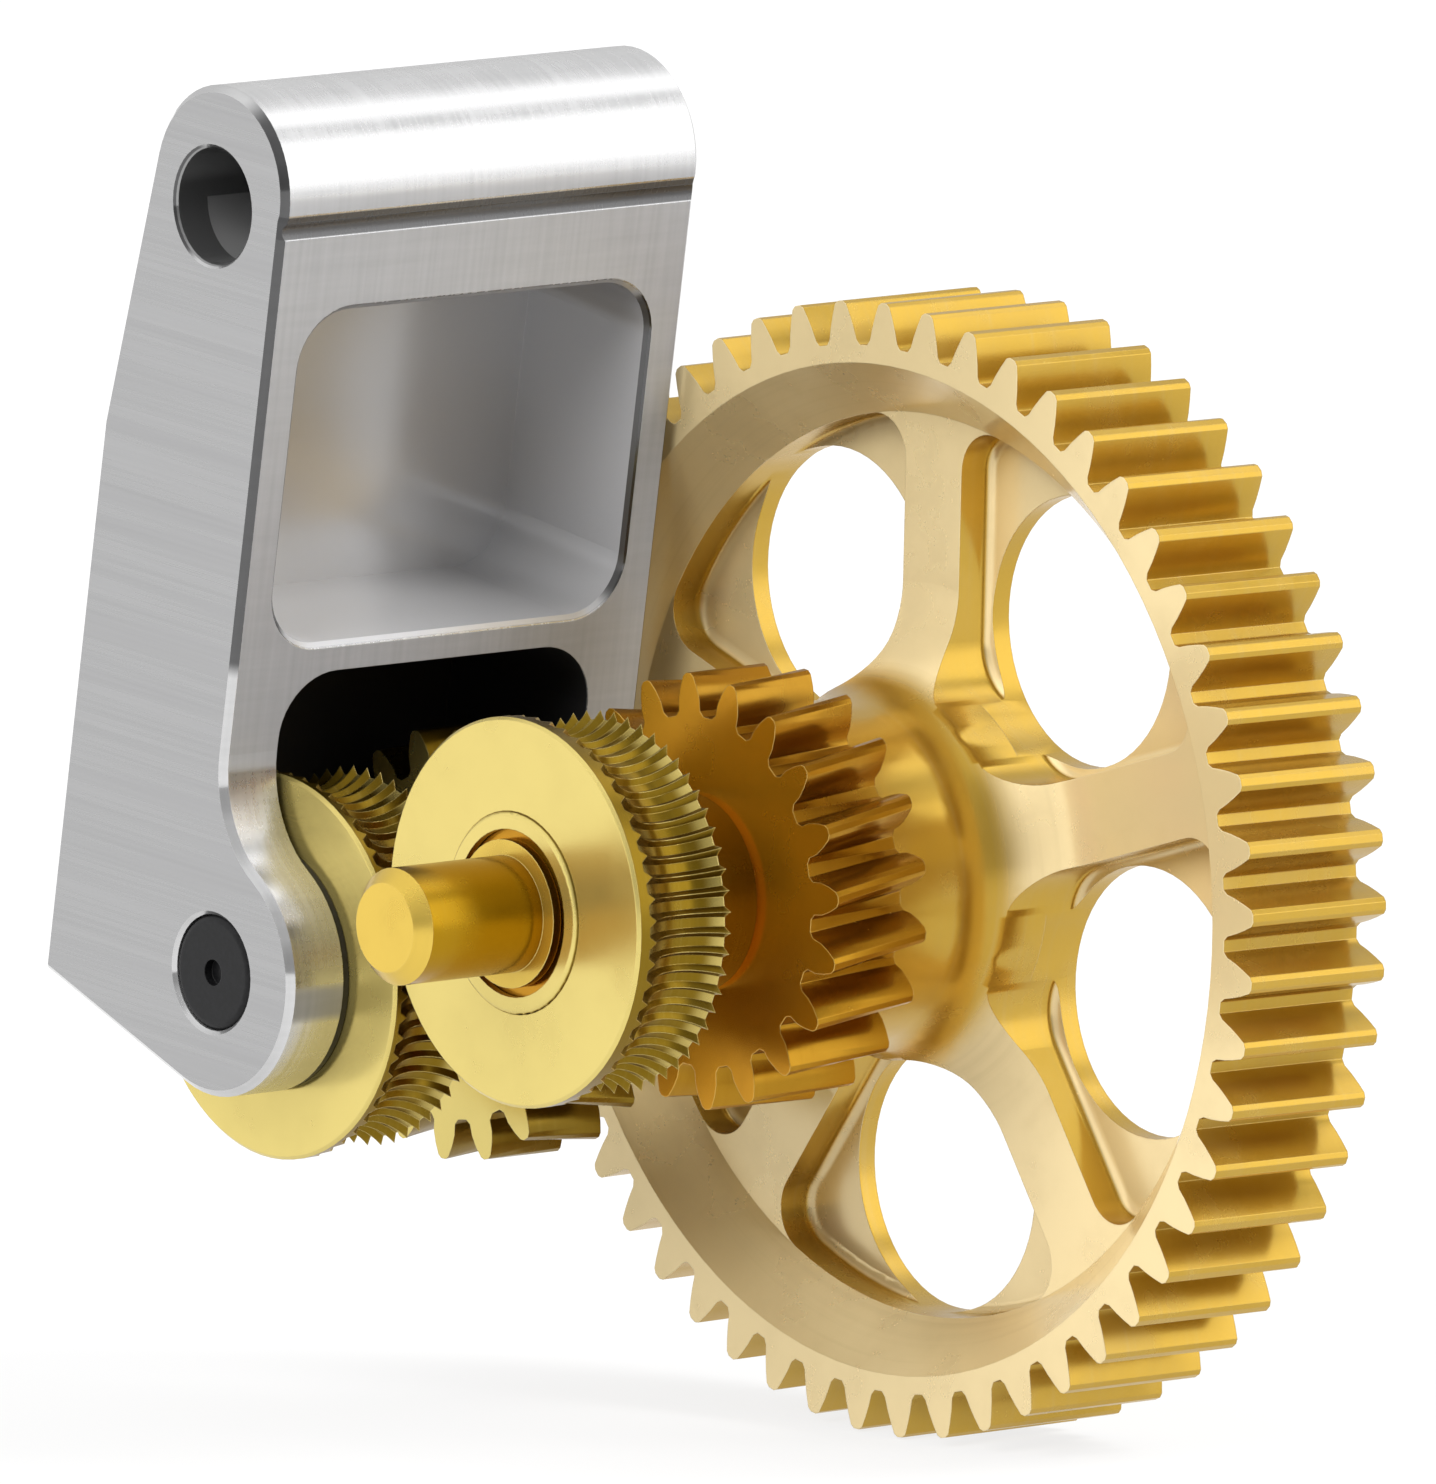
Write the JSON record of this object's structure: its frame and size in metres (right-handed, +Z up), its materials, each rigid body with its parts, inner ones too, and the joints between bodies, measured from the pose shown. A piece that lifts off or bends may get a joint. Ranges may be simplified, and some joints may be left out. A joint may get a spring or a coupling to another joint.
{
  "type": "extruder drive gear set",
  "caption": "Filament drive gear set: large helical gear with a grooved drive wheel and pinion, meshed with an idler on a swinging aluminium arm.",
  "frame": {"origin": "on the main shaft's axis, in the middle of its front journal", "axes": "+Y along the main shaft towards the large gear, +Z up, the idler arm lies towards -X"},
  "size_m": [0.0314, 0.0225, 0.035],
  "materials": {
    "amber_steel": "satin",
    "gold_coat": "satin",
    "pale_gold": "satin",
    "brushed_aluminium": "brushed",
    "black_steel": "satin",
    "bright_steel": "polished",
    "black_plastic": "matte"
  },
  "bodies": {
    "shaft": {"main_shaft": "amber_steel"},
    "drive_cluster": {"drive_wheel": "gold_coat", "drive_pinion": "amber_steel", "main_gear": "pale_gold", "shaft_front_bearing_cup": "gold_coat", "shaft_rear_bearing_cup": "bright_steel"},
    "shaft_front_needles": {"shaft_front_bearing_cage": "amber_steel", "shaft_front_bearing_rollers": "bright_steel"},
    "shaft_rear_needles": {"shaft_rear_bearing_cage": "amber_steel", "shaft_rear_bearing_rollers": "bright_steel"},
    "arm": {"idler_arm": "brushed_aluminium", "idler_pin": "black_steel", "idler_front_washer": "black_plastic", "idler_rear_washer": "black_plastic"},
    "idler": {"idler_drive_wheel": "gold_coat", "idler_pinion": "gold_coat", "idler_front_bearing_cup": "bright_steel", "idler_rear_bearing_cup": "bright_steel"},
    "idler_front_needles": {"idler_front_bearing_cage": "amber_steel", "idler_front_bearing_rollers": "bright_steel"},
    "idler_rear_needles": {"idler_rear_bearing_cage": "amber_steel", "idler_rear_bearing_rollers": "bright_steel"}
  },
  "joints": [
    {"name": "main_spin", "type": "hinge", "parent": "shaft", "child": "drive_cluster", "pos_m": [0, 0, 0], "axis": [0, 1, 0], "continuous": true},
    {"name": "shaft_front_needles_spin", "type": "hinge", "parent": "shaft", "child": "shaft_front_needles", "pos_m": [0, 0, 0], "axis": [0, 1, 0], "continuous": true},
    {"name": "shaft_rear_needles_spin", "type": "hinge", "parent": "shaft", "child": "shaft_rear_needles", "pos_m": [0, 0, 0], "axis": [0, 1, 0], "continuous": true},
    {"name": "arm_swing", "type": "hinge", "parent": "shaft", "child": "arm", "pos_m": [-0.0098, 0, 0.01726], "axis": [0, 1, 0], "range_deg": [0, 10]},
    {"name": "idler_spin", "type": "hinge", "parent": "arm", "child": "idler", "pos_m": [-0.00992, 0, -0.00246], "axis": [0, 1, 0], "continuous": true},
    {"name": "idler_front_needles_spin", "type": "hinge", "parent": "arm", "child": "idler_front_needles", "pos_m": [-0.00992, 0, -0.00246], "axis": [0, 1, 0], "continuous": true},
    {"name": "idler_rear_needles_spin", "type": "hinge", "parent": "arm", "child": "idler_rear_needles", "pos_m": [-0.00992, 0, -0.00246], "axis": [0, 1, 0], "continuous": true}
  ],
  "couplings": [
    {"joint": "idler_spin", "follows": "main_spin", "ratio": -1},
    {"joint": "shaft_front_needles_spin", "follows": "main_spin", "ratio": 0.60526},
    {"joint": "shaft_rear_needles_spin", "follows": "main_spin", "ratio": 0.60526},
    {"joint": "idler_front_needles_spin", "follows": "main_spin", "ratio": -0.60526},
    {"joint": "idler_rear_needles_spin", "follows": "main_spin", "ratio": -0.60526}
  ]
}
